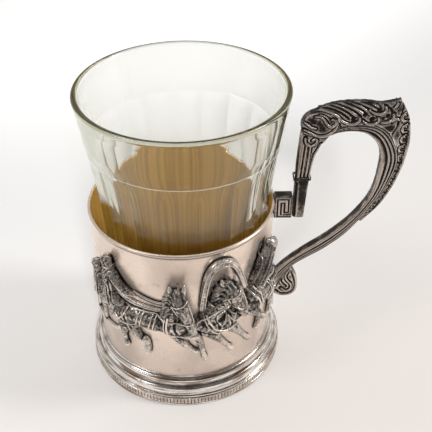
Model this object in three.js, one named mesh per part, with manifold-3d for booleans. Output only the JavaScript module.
// Tea glass holder: a straight round wall on a stepped foot, with a cast handle, a cast
// relief of a sleigh drawn by three horses, and the faceted tea glass that stands in it.
// Millimetres, +Z up. The origin is on the holder's axis at table level. The handle points
// along +X, and the relief faces -Y.

import * as THREE from 'three';
import { mergeVertices } from 'three/addons/utils/BufferGeometryUtils.js';
import Module from 'manifold-3d';

const wasm = await Module();
wasm.setup();

// Round wall and its rim
const WALL_RADIUS = 33.5;
const WALL_THICKNESS = 0.7;
const MOUTH_HEIGHT = 70.25;
const RIM_HEIGHT = 1.2;
const RIM_OVERHANG = 0.5;
const RIM_SHOULDER = 0.55;
const ROUND_SIDES = 64;

// Foot, the strip round its edge, and the two discs that it carries
const FOOT_RADIUS = 37.9;
const FOOT_HEIGHT = 12;
const FOOT_METAL = 0.9;
const STRIP_HEIGHT = 2.6;
const STRIP_THICKNESS = 0.6;
const STRIP_LIFT = 1.2;
const STRIP_BULGE_HEIGHT = 0.9;
const BASE_PLATE_THICKNESS = 1;
const FLOOR_THICKNESS = 0.8;
const FLOOR_DEPTH_IN_FOOT = 2.3;
const FLOOR_LEDGE = 1.8;

// Tea glass
const GLASS_HEIGHT = 105;
const GLASS_PLAY = 2;
const GLASS_TAPER_IN_HOLDER = 3.3;
const GLASS_FLARE_TO_BAND = 3;
const GLASS_FLARE_OF_BAND = 2.7;
const GLASS_BAND = 18.4;
const GLASS_WALL = 2.1;
const GLASS_BOTTOM = 7;
const GLASS_LIP_ROUND = 0.8;
const GLASS_FACETS = 20;
const FACET_STEP = 0.35;
const BASE_CHAMFER = 1.4;

// Handle castings, measured out from the wall
const ARM_WIDTH = 4.2;
const STRUT_WIDTH = 3.8;
const CREST_WIDTH = 5.2;
const HEAD_WIDTH = 4.8;
const BORDER_WIDTH = 4.6;
const SCROLL_WIDTH = 4.4;
const KEY_BLOCK_WIDTH = 4.4;
const KEY_BLOCK_HEIGHT = 9.6;
const KEY_BLOCK_RISE = 0.95;
const STRUT_BACK = 7.2;
const STRUT_FRONT = 12.3;
const COLLAR_RISE = 7.9;
const COLLAR_HEIGHT = 1.3;
const COLLAR_LAP = 0.3;
const CASTING_BEVEL = 0.45;

// Gap that soldered pieces keep where one is shaped to another
const SEAM = 0.3;

const WALL_BORE = WALL_RADIUS - WALL_THICKNESS;
const WALL_TOP = MOUTH_HEIGHT - RIM_HEIGHT;
const WALL_MIDDLE = (FOOT_HEIGHT + MOUTH_HEIGHT) / 2;
const FLOOR_TOP = FOOT_HEIGHT - FLOOR_DEPTH_IN_FOOT;

const polished = { color: 0xd9cdc4, roughness: 0.18, metalness: 1 };
const oxidised = { color: 0x8d8681, roughness: 0.35, metalness: 1 };
const gilt = { color: 0xb8913f, roughness: 0.3, metalness: 1 };
const clearGlass = { color: 0xeef2ea, roughness: 0.05, metalness: 0 };

// Solids

function toSolid(geometry) {
  const bare = geometry.clone();
  bare.deleteAttribute('normal');
  bare.deleteAttribute('uv');
  const merged = mergeVertices(bare, 1e-5);
  return new wasm.Manifold(new wasm.Mesh({
    numProp: 3,
    vertProperties: new Float32Array(merged.attributes.position.array),
    triVerts: new Uint32Array(merged.index.array),
  }));
}

function toGeometry(solid) {
  const mesh = solid.getMesh();
  const geometry = new THREE.BufferGeometry();
  geometry.setAttribute('position', new THREE.BufferAttribute(mesh.vertProperties, 3));
  geometry.setIndex(new THREE.BufferAttribute(mesh.triVerts, 1));
  geometry.computeVertexNormals();
  return geometry;
}

function joined(solids) {
  return solids.reduce((all, next) => all.add(next));
}

function cutBy(solid, cutters) {
  return cutters.reduce((left, cutter) => left.subtract(cutter), solid);
}

// A closed ring turned about Z from a profile of [radius, height] corners, anticlockwise
function turned(profile, sides = ROUND_SIDES) {
  const corners = profile.map(([radius, height]) => new THREE.Vector2(radius, height));
  if (corners[0].x > 0) {
    corners.push(corners[0].clone());
  }
  const geometry = new THREE.LatheGeometry(corners, sides);
  return geometry.rotateX(Math.PI / 2);
}

// A round space to cut away, never less than its radius at the flats between its sides
function roundSpace(radius, bottom, top) {
  const corner = radius / Math.cos(Math.PI / ROUND_SIDES);
  return toSolid(turned([[0, bottom], [corner, bottom], [corner, top], [0, top]]));
}

// Room for the wall and for its rim, each with a solder seam
function wallSpace() {
  return roundSpace(WALL_RADIUS + SEAM, -MOUTH_HEIGHT, 2 * MOUTH_HEIGHT);
}

function rimSpace() {
  return roundSpace(WALL_RADIUS + RIM_OVERHANG + SEAM, WALL_TOP - SEAM, MOUTH_HEIGHT + SEAM);
}

// Round wall, rim, foot and discs

const footSpread = FOOT_RADIUS - WALL_RADIUS;

// A corner of the foot's outline: how far it has spread, and how far up the foot it is
function footCorner(spread, rise) {
  return [WALL_RADIUS + footSpread * spread, FOOT_HEIGHT * rise];
}

const STRIP_TOP = STRIP_LIFT + STRIP_HEIGHT;
const stripBack = FOOT_RADIUS - STRIP_THICKNESS;
const stripSeat = stripBack - SEAM;
const plateSeat = stripSeat - FOOT_METAL;
const stripEdge = FOOT_RADIUS - 0.5 * STRIP_THICKNESS;

function sleeve() {
  return turned([
    [WALL_BORE, FOOT_HEIGHT],
    [WALL_RADIUS, FOOT_HEIGHT],
    [WALL_RADIUS, WALL_TOP],
    [WALL_BORE, WALL_TOP],
  ]);
}

// Wire-like rim, flat where it sits on the wall
function rimBead() {
  const outer = WALL_RADIUS + RIM_OVERHANG;
  const centre = (outer + WALL_BORE) / 2;
  const halfWidth = (outer - WALL_BORE) / 2;
  const profile = [[WALL_BORE, WALL_TOP], [WALL_RADIUS, WALL_TOP]];
  const steps = 4;
  for (let step = 0; step <= steps; step += 1) {
    const turn = Math.PI * step / steps;
    const height = WALL_TOP + RIM_SHOULDER + (RIM_HEIGHT - RIM_SHOULDER) * Math.sin(turn);
    profile.push([centre + halfWidth * Math.cos(turn), height]);
  }
  return turned(profile);
}

// Spun foot: a cove, a bead, a hollow, a second edge, a band and the recess for the strip
function footShell() {
  const ledgeHeight = FLOOR_TOP - FLOOR_THICKNESS;
  return turned([
    [plateSeat, 0],
    [FOOT_RADIUS, 0],
    [FOOT_RADIUS, STRIP_LIFT],
    [stripSeat, STRIP_LIFT],
    [stripSeat, STRIP_TOP],
    [stripEdge, STRIP_TOP],
    footCorner(0.86, 0.37),
    footCorner(0.78, 0.4),
    footCorner(0.66, 0.6),
    footCorner(0.55, 0.64),
    footCorner(0.42, 0.7),
    footCorner(0.34, 0.78),
    footCorner(0.36, 0.85),
    footCorner(0.26, 0.91),
    footCorner(0.1, 0.9),
    footCorner(0.03, 0.95),
    [WALL_RADIUS, FOOT_HEIGHT],
    [WALL_BORE, FOOT_HEIGHT],
    [WALL_BORE, ledgeHeight],
    [WALL_BORE - FLOOR_LEDGE, ledgeHeight],
    [WALL_BORE - FLOOR_LEDGE, ledgeHeight - FOOT_METAL],
    [WALL_BORE, ledgeHeight - 2 * FOOT_METAL],
    [plateSeat - FOOT_METAL, BASE_PLATE_THICKNESS + FOOT_METAL],
    [plateSeat - FOOT_METAL, BASE_PLATE_THICKNESS],
    [plateSeat, BASE_PLATE_THICKNESS],
  ]);
}

function footStrip() {
  return turned([
    [stripBack, STRIP_LIFT],
    [stripEdge, STRIP_LIFT],
    [FOOT_RADIUS, STRIP_LIFT + STRIP_BULGE_HEIGHT],
    [stripEdge, STRIP_TOP - SEAM],
    [stripBack, STRIP_TOP - SEAM],
  ]);
}

function disc(radius, bottom, thickness) {
  return turned([
    [0, bottom],
    [radius, bottom],
    [radius, bottom + thickness],
    [0, bottom + thickness],
  ]);
}

function floorDisc() {
  return disc(WALL_BORE - SEAM, FLOOR_TOP - FLOOR_THICKNESS, FLOOR_THICKNESS);
}

function basePlate() {
  return disc(plateSeat - SEAM, 0, BASE_PLATE_THICKNESS);
}

// Tea glass, leaning its side towards the handle

const glassBase = FLOOR_TOP + SEAM;
const glassTop = glassBase + GLASS_HEIGHT;
const bandBottom = glassTop - GLASS_BAND;
const mouthRadius = WALL_BORE - GLASS_PLAY;
const baseRadius = mouthRadius - GLASS_TAPER_IN_HOLDER;
const bandRadius = mouthRadius + GLASS_FLARE_TO_BAND;
const rimRadius = bandRadius + GLASS_FLARE_OF_BAND;
const glassShift = GLASS_PLAY - SEAM;

function teaGlass() {
  const bandSides = 3 * GLASS_FACETS;
  const band = toSolid(turned([
    [0, bandBottom],
    [bandRadius, bandBottom],
    [rimRadius, glassTop - GLASS_LIP_ROUND],
    [rimRadius - GLASS_LIP_ROUND, glassTop],
    [0, glassTop],
  ], bandSides));
  const faceted = toSolid(turned([
    [0, glassBase],
    [baseRadius - BASE_CHAMFER, glassBase],
    [baseRadius, glassBase + BASE_CHAMFER],
    [mouthRadius, MOUTH_HEIGHT],
    [bandRadius - FACET_STEP, bandBottom + FACET_STEP],
    [0, bandBottom + FACET_STEP],
  ], GLASS_FACETS));
  const innerFloor = glassBase + GLASS_BOTTOM;
  const cavity = toSolid(turned([
    [0, innerFloor],
    [baseRadius - 2 * GLASS_WALL, innerFloor],
    [baseRadius - GLASS_WALL, innerFloor + GLASS_WALL],
    [mouthRadius - GLASS_WALL, MOUTH_HEIGHT],
    [bandRadius - GLASS_WALL, bandBottom],
    [rimRadius - GLASS_WALL, glassTop - GLASS_LIP_ROUND],
    [rimRadius - GLASS_WALL + 0.5 * GLASS_LIP_ROUND, glassTop + 1],
    [0, glassTop + 1],
  ], bandSides));
  const glass = toGeometry(band.add(faceted).subtract(cavity));
  return glass.translate(glassShift, 0, 0);
}

// Handle castings. Outlines are [distance out from the wall, height above the mouth].

function smooth(points, steps) {
  const curve = new THREE.SplineCurve(points.map(([out, up]) => new THREE.Vector2(out, up)));
  return curve.getPoints(steps);
}

function shapeOf(stretches) {
  return new THREE.Shape(stretches.flat());
}

// A flat casting in the plane of the handle, with bevelled edges; grow makes room round it
function casting(shape, width, grow = 0) {
  const geometry = new THREE.ExtrudeGeometry(shape, {
    depth: width - 2 * CASTING_BEVEL + 2 * grow,
    bevelEnabled: true,
    bevelThickness: CASTING_BEVEL,
    bevelSize: CASTING_BEVEL,
    bevelOffset: grow - CASTING_BEVEL,
    bevelSegments: 1,
    steps: 1,
  });
  geometry.translate(0, 0, CASTING_BEVEL - width / 2 - grow);
  geometry.rotateX(Math.PI / 2);
  return toSolid(geometry.translate(WALL_RADIUS, 0, MOUTH_HEIGHT));
}

const fingerSide = smooth([
  [18.6, 26.1], [21.4, 27.4], [26.5, 27.8], [31, 26.6], [34.6, 23], [36.5, 18], [36.6, 12.3],
  [35.9, 5.3], [33.8, -1.4], [29.1, -9], [23.9, -14.7], [18.6, -19.5], [11.4, -25.2],
  [5.9, -30.2], [2.1, -34.8], [-1, -40],
], 34);

const outerSide = smooth([
  [-1, -47], [2.1, -43.2], [4.2, -37.8], [7.6, -32.9], [12, -29], [19.2, -24], [26.2, -17.7],
  [30.2, -12.5], [33.2, -8.1], [35.7, -3.7], [38.4, 1], [40.5, 6.3], [42.2, 12.3],
  [42.5, 17.3], [40.8, 22.6], [37.8, 27.2], [34.1, 29.7], [29.7, 30.4], [24.6, 30.1],
  [19.4, 29],
], 40);

const armShape = shapeOf([fingerSide, outerSide]);

const headShape = shapeOf([smooth([
  [8.2, 28.6], [8.4, 31.3], [10.2, 33.8], [12.8, 35], [15.9, 35.2], [19.3, 33.8],
  [21.1, 30.8], [20.7, 28.6], [18.5, 26.4], [15.5, 25.3], [11.5, 26.4], [8.7, 27.4],
], 24)]);

const keyBlockBottom = KEY_BLOCK_RISE - KEY_BLOCK_HEIGHT;

const strutShape = shapeOf([
  smooth([[7.1, keyBlockBottom], [STRUT_BACK, 1.8], [7.4, 13.8], [7.8, 20.8], [8.3, 27.3]], 6),
  smooth([[11.5, 26.6], [15.5, 25.8], [18, 25.7]], 3),
  smooth([[15.9, 22.6], [14, 19.3], [12.9, 14.3], [STRUT_FRONT, 7.8], [11.7, -0.2],
    [11.2, keyBlockBottom]], 8),
]);

// Fluted shell that the thumb rests on, swept back to a point
const crestShape = shapeOf([
  smooth([[10.4, 34.1], [13.5, 36.1], [17.5, 37.9], [21.5, 38.6], [25.8, 38.9], [30.2, 38.8],
    [34.4, 38.2], [37.5, 38.4], [41.1, 39.4]], 14),
  smooth([[41.7, 37], [41.1, 33.8], [40.5, 29.8], [39, 26.8]], 5),
  smooth([[34.5, 27.8], [26.5, 29.3], [20.9, 30]], 4),
  smooth([[20.3, 32.2], [16, 33], [12.5, 33]], 3),
]);

// Leaf border that rides on the outside of the arm
const borderShape = shapeOf([
  smooth([[42.2, 37.4], [44, 34.1], [45.1, 30.4], [45.8, 24.6], [45.5, 18.2], [44.4, 11.8],
    [42.4, 4.8], [39.5, -1.8], [36.3, -6.7], [32.6, -11.2]], 18),
  smooth([[31.2, -10], [34.5, -2.8], [38, 3.8], [40.5, 11.8], [40.8, 17.8], [39, 22.8],
    [39.5, 26.8], [41, 30.8], [41.5, 34.8]], 14),
]);

const scrollShape = shapeOf([
  smooth([[8.2, -30.5], [7.8, -33.4], [10.1, -37.2], [10.8, -41.2], [10.4, -44.6],
    [7.5, -47.5], [3.8, -47.6], [0.9, -45.7]], 16),
  smooth([[-0.5, -40], [2.5, -35], [6, -31]], 4),
]);

function rectangle(left, bottom, right, top) {
  return shapeOf([[
    new THREE.Vector2(left, bottom),
    new THREE.Vector2(right, bottom),
    new THREE.Vector2(right, top),
    new THREE.Vector2(left, top),
  ]]);
}

const keyBlockShape = rectangle(-1, keyBlockBottom, 9, KEY_BLOCK_RISE);

const collarReach = SEAM + COLLAR_LAP;
const collarShape = rectangle(
  STRUT_BACK - collarReach,
  COLLAR_RISE,
  STRUT_FRONT + collarReach,
  COLLAR_RISE + COLLAR_HEIGHT,
);

function handleCastings() {
  const wall = wallSpace();
  const roomForArm = casting(armShape, CREST_WIDTH, SEAM);
  const roomForHead = casting(headShape, CREST_WIDTH, SEAM);
  const roomForCrest = casting(crestShape, CREST_WIDTH, SEAM);
  const roomForStrut = casting(strutShape, STRUT_WIDTH, SEAM);
  const widerThanStrut = casting(strutShape, KEY_BLOCK_WIDTH, SEAM);
  return {
    handle_arm: casting(armShape, ARM_WIDTH).subtract(wall),
    handle_head: casting(headShape, HEAD_WIDTH).subtract(roomForArm),
    handle_strut: cutBy(casting(strutShape, STRUT_WIDTH), [roomForArm, roomForHead]),
    thumb_shell: cutBy(casting(crestShape, CREST_WIDTH), [roomForArm, roomForHead]),
    leaf_border: cutBy(casting(borderShape, BORDER_WIDTH), [roomForArm, roomForCrest]),
    strut_collar: casting(collarShape, STRUT_WIDTH + 2 * collarReach).subtract(roomForStrut),
    key_block: cutBy(casting(keyBlockShape, KEY_BLOCK_WIDTH), [widerThanStrut, wall, rimSpace()]),
    lower_scroll: cutBy(casting(scrollShape, SCROLL_WIDTH), [roomForArm, wall]),
  };
}

// Relief castings. A place on the wall is [degrees round from the front towards the handle,
// height from the middle of the wall, distance out from the wall, radius of the form there].

function onWall([degrees, height, out]) {
  const turn = THREE.MathUtils.degToRad(degrees);
  const radius = WALL_RADIUS + out;
  return new THREE.Vector3(
    radius * Math.sin(turn),
    -radius * Math.cos(turn),
    WALL_MIDDLE + height,
  );
}

const STOUT_LIMB = 2;

// A round-ended limb that tapers from one radius to the other; slim ones have fewer sides
function limb(from, to, grow = 0) {
  const start = onWall(from);
  const way = onWall(to).sub(start);
  const length = way.length();
  const startRadius = from[3] + grow;
  const endRadius = to[3] + grow;
  const lean = Math.acos(THREE.MathUtils.clamp((startRadius - endRadius) / length, -1, 1));
  const profile = [];
  for (const turn of [0, 0.5, 1]) {
    const angle = Math.PI - turn * (Math.PI - lean);
    profile.push([startRadius * Math.sin(angle), startRadius * Math.cos(angle)]);
  }
  for (const turn of [0, 0.5, 1]) {
    const angle = lean * (1 - turn);
    profile.push([endRadius * Math.sin(angle), length + endRadius * Math.cos(angle)]);
  }
  profile[0][0] = 0;
  profile[5][0] = 0;
  const corners = profile.map(([radius, along]) => new THREE.Vector2(radius, along));
  const sides = Math.max(startRadius, endRadius) > STOUT_LIMB ? 8 : 6;
  const geometry = new THREE.LatheGeometry(corners, sides);
  const up = new THREE.Vector3(0, 1, 0);
  geometry.applyQuaternion(new THREE.Quaternion().setFromUnitVectors(up, way.normalize()));
  return toSolid(geometry.translate(start.x, start.y, start.z));
}

// All the limbs of a figure: each chain runs through its places in turn
function figure(chains, grow = 0) {
  const limbs = chains.flatMap((places) => (
    places.slice(1).map((place, index) => limb(places[index], place, grow))
  ));
  return joined(limbs);
}

const leftHorse = [
  [[-38, -3, -0.8, 4.4], [-28, 0, -0.6, 4.6], [-17, 0, -0.4, 4.7], [-6, 0.2, -0.2, 5]],
  [[-6, 2, 0.2, 4.2], [-3, 8.6, 1.6, 3.4], [-1.5, 12.9, 2.8, 3.1], [3.5, 6.4, 4, 2.5],
    [6, 1, 4.6, 1.9]],
  [[-5, 15, 2.9, 1.1], [-6.5, 18.6, 2.9, 0.4]],
  [[2, 15, 2.9, 1.1], [3, 18.6, 2.9, 0.4]],
  [[-38, -4, 0, 3], [-36, -10, 0.8, 1.6], [-37, -16, 0.8, 1.1]],
  [[-33, -5, 0, 3], [-27, -11.5, 0.8, 1.5], [-21.5, -11, 0.8, 1.3], [-22, -15.5, 0.8, 1.1]],
  [[-2, -4, 0.5, 2.8], [8, -6, 1.5, 1.9], [11, -11, 1, 1.3], [13.5, -19.5, 0.8, 1.1]],
  [[-4, -6, 0.5, 2.2], [2, -12, 0.8, 1.3], [8, -15.6, 0.6, 1]],
  [[-40, -1, 0.2, 2.6], [-47, -4, 0.8, 1.8], [-51, -8, 0.6, 1]],
];

const centreHorse = [
  [[14, -1, -0.2, 4.4], [22, -2, 0.4, 4.8], [30, -1, 0, 4.4]],
  [[22, 2, 0.6, 4.3], [26, 8.6, 2, 3.4], [28, 12.6, 3.4, 2.9], [31.5, 7.6, 4.3, 2.4],
    [35, 2.6, 4.8, 1.8]],
  [[25, 14.6, 3.4, 1.1], [23.6, 18, 3.4, 0.4]],
  [[31.5, 14.6, 3.4, 1.1], [33, 18, 3.4, 0.4]],
  [[17, -5, 1, 2.8], [22, -11.5, 1.2, 1.4], [30, -17.5, 0.8, 1.1]],
  [[28, -5, 1, 2.8], [36, -12, 1.1, 1.4], [45, -18.4, 0.8, 1.1]],
];

const rightHorse = [
  [[48, 0, 0, 4.2], [58, -1, -0.6, 4.6], [70, -1, -0.8, 4.6], [79, -2, -0.8, 4.2]],
  [[48, 4, 0.4, 3.8], [51, 12, 1.4, 3], [55, 20, 2.6, 2.4], [60, 22.6, 3.4, 2.1],
    [65, 18.4, 3.2, 1.5]],
  [[46, -4, 1, 2.4], [53, -9.5, 1, 1.4], [63, -15.6, 0.8, 1.1]],
  [[74, -5, 0, 2.8], [79, -11, 0.8, 1.5], [78, -17, 0.8, 1.1]],
  [[66, -5, 0, 2.6], [71, -11, 0.8, 1.4], [70, -17, 0.8, 1.1]],
];

const shaftBow = [
  [[11.8, 5.5, 1.2, 1.2], [13, 12, 1.4, 1.3], [15, 18.5, 1.4, 1.4], [18.5, 22.9, 1.4, 1.4],
    [24, 24.9, 1.4, 1.4], [31, 23.8, 1.4, 1.4], [36.5, 19.7, 1.4, 1.3], [40.5, 13.5, 1.4, 1.2],
    [43, 8.5, 1.2, 1.1]],
];

const driver = [
  [[-43, 21.2, 2.2, 2], [-43, 19.4, 2, 2]],
  [[-43.5, 16.5, 1.2, 2.6], [-44.5, 9, 0.8, 3.2], [-48, 3, 0.4, 3.2]],
  [[-43, 20, 1.8, 1.5], [-43.5, 16, 1.2, 2]],
  [[-42, 15.5, 1.6, 2.1], [-34, 14, 2, 1.7], [-27, 12.6, 1.6, 1.3]],
];

const passenger = [
  [[-56, 18.2, 2.2, 2], [-56, 16, 1.8, 1.8]],
  [[-56, 13, 1.2, 2.8], [-57, 4, 0.6, 3.4]],
  [[-55, 12, 1.6, 1.8], [-51, 6, 1.8, 1.5]],
];

// Sleigh body, its swept-up back, and the runner with its two posts
const sleigh = [
  [[-56, -2, -1.2, 3.4], [-68, -3, -2.2, 3.8], [-80, -4, -2.6, 3.8], [-90, -2, -2.6, 3.6],
    [-97, 3, -1.2, 2.2]],
  [[-42, -10.5, 0.5, 1.1], [-45, -12.6, 0.5, 1], [-60, -14, 0.3, 1], [-92, -14.4, 0.2, 1]],
  [[-60, -4, 0, 1.3], [-58, -13.5, 0.3, 1]],
  [[-84, -6, -0.2, 1.3], [-86, -14, 0.2, 1]],
];

const reins = [
  [[-25, 11.6, 0.9, 0.7], [-20, 9.4, 0.9, 0.7], [-14, 8.6, 1, 0.7], [-9, 8.4, 1.2, 0.7]],
];

const sleighShaft = [
  [[-41, 8.6, 0.4, 1.2], [-28, 6.6, 0.5, 1.2], [-17, 5.6, 0.5, 1.2], [-10, 5.4, 0.5, 1.1]],
];

function reliefCastings() {
  const wall = wallSpace();
  const roomFor = (chains) => figure(chains, SEAM);
  const shaped = (chains, neighbours) => (
    cutBy(figure(chains), [...neighbours.map(roomFor), wall])
  );
  return {
    left_horse: shaped(leftHorse, []),
    centre_horse: shaped(centreHorse, [leftHorse]),
    shaft_bow: shaped(shaftBow, [leftHorse, centreHorse]),
    right_horse: shaped(rightHorse, [centreHorse, shaftBow]),
    sleigh_shaft: shaped(sleighShaft, [leftHorse]),
    reins: shaped(reins, [leftHorse, sleighShaft]),
    driver: shaped(driver, [leftHorse, sleighShaft, reins]),
    passenger: shaped(passenger, [leftHorse, driver]),
    sleigh: shaped(sleigh, [leftHorse, driver, passenger]),
  };
}

// Assembly

const holder = new THREE.Group();
const model = new THREE.Group();
model.add(holder);

function piece(parent, name, geometry, finish) {
  const mesh = new THREE.Mesh(geometry, new THREE.MeshStandardMaterial(finish));
  mesh.name = name;
  parent.add(mesh);
}

piece(holder, 'sleeve', sleeve(), polished);
piece(holder, 'rim_bead', rimBead(), polished);
piece(holder, 'foot_shell', footShell(), polished);
piece(holder, 'foot_strip', footStrip(), oxidised);
piece(holder, 'base_plate', basePlate(), polished);
piece(holder, 'floor_disc', floorDisc(), gilt);

for (const [name, solid] of Object.entries(handleCastings())) {
  piece(holder, name, toGeometry(solid), oxidised);
}
for (const [name, solid] of Object.entries(reliefCastings())) {
  piece(holder, name, toGeometry(solid), oxidised);
}

piece(model, 'tea_glass', teaGlass(), clearGlass);

export default model;
